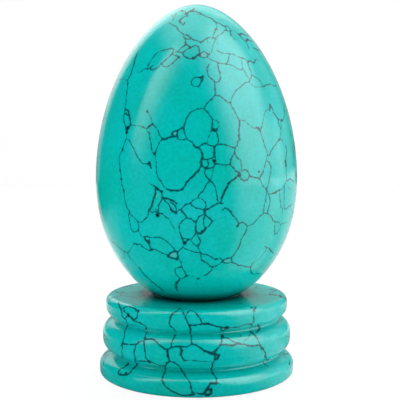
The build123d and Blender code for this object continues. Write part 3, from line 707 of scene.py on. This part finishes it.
def softbox(name, azimuth, elevation, distance, size, glow, edges, power, roll=0, low=1):
    """A softbox facing the object, at an azimuth in degrees from the camera's side. Lengths are in metres.

    Lit gauze gives an even white that dies away at its edges: over the given shares of its width at its left
    and right, and of its height at its bottom and top. At the bottom it has the low share of its top's glow.
    """
    wide, tall = size[0] / 2, size[1] / 2
    made = sheet(name, [(-wide, -tall, 0), (wide, -tall, 0), (wide, tall, 0), (-wide, tall, 0)])
    lamp = bpy.data.lights.new(name, "AREA")
    lamp.shape = "RECTANGLE"
    lamp.size, lamp.size_y = size
    lamp.energy = power
    lamp_object = bpy.data.objects.new(name + " lamp", lamp)
    bpy.context.collection.objects.link(lamp_object)
    turn, rise = math.radians(azimuth), math.radians(elevation)
    toward = Vector((math.sin(turn) * math.cos(rise), -math.cos(turn) * math.cos(rise), math.sin(rise)))
    tip = Matrix.Rotation(math.radians(90) - rise, 3, "X") @ Matrix.Rotation(math.radians(roll), 3, "Z")
    for thing in (made, lamp_object):
        thing.location = AIM + distance * toward
        thing.rotation_euler = (Matrix.Rotation(turn, 3, "Z") @ tip).to_euler()
        thing.visible_camera = False
    made.visible_diffuse = False
    made.visible_shadow = False
    lamp_object.visible_glossy = False
    gauze = bpy.data.materials.new(name)
    gauze.use_nodes = True
    tree = gauze.node_tree
    tree.nodes.clear()
    across = node(tree, "SeparateXYZ", {0: node(tree, "TexCoord").outputs["Generated"]}).outputs
    strength = node(tree, "MapRange", {0: across["Y"], "From Max": EVEN_FROM, "To Min": glow * low,
                                       "To Max": glow})
    left, right, bottom, top = edges
    for axis, begin, end in (("X", 0, left), ("X", 1, 1 - right), ("Y", 0, bottom), ("Y", 1, 1 - top)):
        fade = node(tree, "MapRange", {0: across[axis], "From Min": begin, "From Max": end}, **SMOOTH)
        strength = node(tree, "Math", {0: strength, 1: fade}, "MULTIPLY")
    light = node(tree, "Emission", {"Strength": strength})
    clear = node(tree, "BsdfTransparent")
    sheer = node(tree, "AddShader", {0: light, 1: clear})
    node(tree, "OutputMaterial", {"Surface": sheer})
    made.data.materials.append(gauze)


softbox("right softbox", azimuth=66, elevation=40, distance=0.5, size=(0.75, 1.1),
        glow=3.5, edges=(0.42, 0.33, 0.14, 0.45), power=3.0, low=0.4)
softbox("left strip", azimuth=-60, elevation=36, distance=0.5, size=(0.25, 0.8),
        glow=2.1, edges=(0.15, 0.7, 0.3, 0.35), power=1.35, roll=-16, low=0.05)
softbox("overhead softbox", azimuth=180, elevation=83, distance=0.8, size=(1.3, 1.3),
        glow=1.5, edges=(0.35, 0.3, 0.55, 0.45), power=2.2)
softbox("rear softbox", azimuth=180, elevation=50, distance=0.7, size=(1.0, 0.6),
        glow=0.5, edges=(0.3, 0.3, 0.3, 0.3), power=6.7)
softbox("rear reflector", azimuth=124, elevation=25, distance=0.6, size=(0.7, 0.9),
        glow=0.58, edges=(0.3, 0.5, 0.1, 0.3), power=0.3)
softbox("rear card", azimuth=-158, elevation=22, distance=0.6, size=(0.56, 0.7),
        glow=1.7, edges=(0.5, 0.65, 0.75, 0.5), power=0.1)
softbox("white card", azimuth=101, elevation=7, distance=0.5, size=(0.36, 0.36),
        glow=1.5, edges=(0.45, 0.45, 0.5, 0.5), power=0.1)

# The table and the backdrop: sheets of matt white paper, one laid flat under the stand, one hung up behind.
# The camera sees them plain white, with the object's soft shadow. The polish mirrors a painted light on them,
# set by place: bright at the right and behind, where the softboxes would light them, and dim elsewhere.
# Lengths are in metres.
TO_RIGHT_SOFTBOX = (0.961, -0.276, 0)
TO_RIGHT_REAR = (1, 0.47, 0)
TO_LEFT_REAR = (-0.55, 0.835, 0)
OFF_TABLE = 0.0001  # higher than this is the backdrop
PLAIN_WHITE = 0.9  # share of what the camera sees, the rest keeps the shadow
table = sheet("table", [(-2, -2, 0), (2, -2, 0), (2, 2, 0), (-2, 2, 0)])
backdrop = sheet("backdrop", [(-0.5, 0.6, 0), (0.35, 0.6, 0), (0.35, 0.6, 1), (-0.5, 0.6, 1)])
paper = bpy.data.materials.new("white paper")
paper.use_nodes = True
tree = paper.node_tree
tree.nodes.clear()
ray = node(tree, "LightPath").outputs
place = node(tree, "NewGeometry").outputs["Position"]
axes = node(tree, "SeparateXYZ", {0: place}).outputs
# Painted light that the polish mirrors, set by place: brighter up the backdrop, on the table towards the
# right softbox and to the rear, and a little at the left rear near the stand.
backed = node(tree, "MapRange", {0: axes["Z"], "From Max": 0.7, "To Min": 0.2, "To Max": 0.9})
away = node(tree, "VectorMath", {0: place}, "LENGTH")
far = node(tree, "MapRange", {0: away, "From Max": 0.15, "To Min": 0.45, "To Max": 1.25})
outward = node(tree, "VectorMath", {0: place}, "NORMALIZE")
toward_light = node(tree, "VectorMath", {0: outward, 1: TO_RIGHT_SOFTBOX}, "DOT_PRODUCT")
lit_side = node(tree, "MapRange", {0: toward_light, "From Min": 0.78, "From Max": 0.97}, **SMOOTH)
right = node(tree, "VectorMath", {0: place, 1: TO_RIGHT_REAR}, "DOT_PRODUCT")
right_rear = node(tree, "MapRange", {0: right, "From Min": -0.08, "From Max": 0, "To Max": 0.85}, **SMOOTH)
far_rear = node(tree, "MapRange", {0: axes["Y"], "From Min": -0.03, "From Max": 0.08}, **SMOOTH)
rear = node(tree, "Math", {0: right_rear, 1: far_rear}, "MULTIPLY")
lit = node(tree, "Math", {0: far, 1: lit_side, 2: rear}, "MULTIPLY_ADD")
leftward = node(tree, "VectorMath", {0: outward, 1: TO_LEFT_REAR}, "DOT_PRODUCT")
left_side = node(tree, "MapRange", {0: leftward, "From Min": 0.5, "From Max": 0.97, "To Max": 0.4}, **SMOOTH)
near = node(tree, "MapRange", {0: away, "From Min": 0.2, "From Max": 0.1}, **SMOOTH)
clear_of_stand = node(tree, "MapRange", {0: away, "From Min": 0.04, "From Max": 0.07}, **SMOOTH)
near = node(tree, "Math", {0: near, 1: clear_of_stand}, "MULTIPLY")
lit = node(tree, "Math", {0: left_side, 1: near, 2: lit}, "MULTIPLY_ADD")
on_backdrop = node(tree, "Math", {0: axes["Z"], 1: OFF_TABLE}, "GREATER_THAN")
lit = node(tree, "Mix", {"Factor": on_backdrop, "A": lit, "B": backed})
# Painted light: glossy rays see this emission, not the lamps' light on the paper.
mirrored = node(tree, "Math", {0: ray["Is Glossy Ray"], 1: lit}, "MULTIPLY")
seen = node(tree, "Math", {0: ray["Is Camera Ray"], 1: ray["Is Transmission Ray"]}, "ADD", use_clamp=True)
strength = node(tree, "Math", {0: seen, 1: mirrored}, "ADD")
share = node(tree, "Math", {0: seen, 1: PLAIN_WHITE, 2: ray["Is Glossy Ray"]}, "MULTIPLY_ADD")
matt = node(tree, "BsdfDiffuse", {"Color": hex_linear("f4f4f4")})
white = node(tree, "Emission", {"Strength": strength})
mixed = node(tree, "MixShader", {0: share, 1: matt, 2: white})
node(tree, "OutputMaterial", {"Surface": mixed})
for thing in (table, backdrop):
    thing.data.materials.append(paper)

# The room: dark round the table, so that the softboxes alone light the stone.
# The camera sees it as white as the paper.
world = bpy.data.worlds.new("studio")
world.use_nodes = True
tree = world.node_tree
ray = node(tree, "LightPath").outputs
tone = node(tree, "MapRange", {0: ray["Is Camera Ray"], "To Min": 0.02, "To Max": 1.0})
room = tree.nodes["Background"]
room.inputs["Color"].default_value = hex_linear("ffffff")
tree.links.new(tone.outputs[0], room.inputs["Strength"])
bpy.context.scene.world = world

# The camera: a short telephoto lens close in front, at two thirds of the object's height.
# It is tipped down a little, so that it sees onto the stand's top.
TIPPED_DOWN = 0.077  # radians
camera = bpy.data.cameras.new("camera")
camera.lens = 76
camera.sensor_width = 36
camera_object = bpy.data.objects.new("camera", camera)
camera_object.location = (0.0007, -0.17008, 0.04789)
camera_object.rotation_euler = (math.radians(90) - TIPPED_DOWN, 0, 0)
bpy.context.collection.objects.link(camera_object)
bpy.context.scene.camera = camera_object
bpy.context.scene.view_settings.view_transform = "Standard"
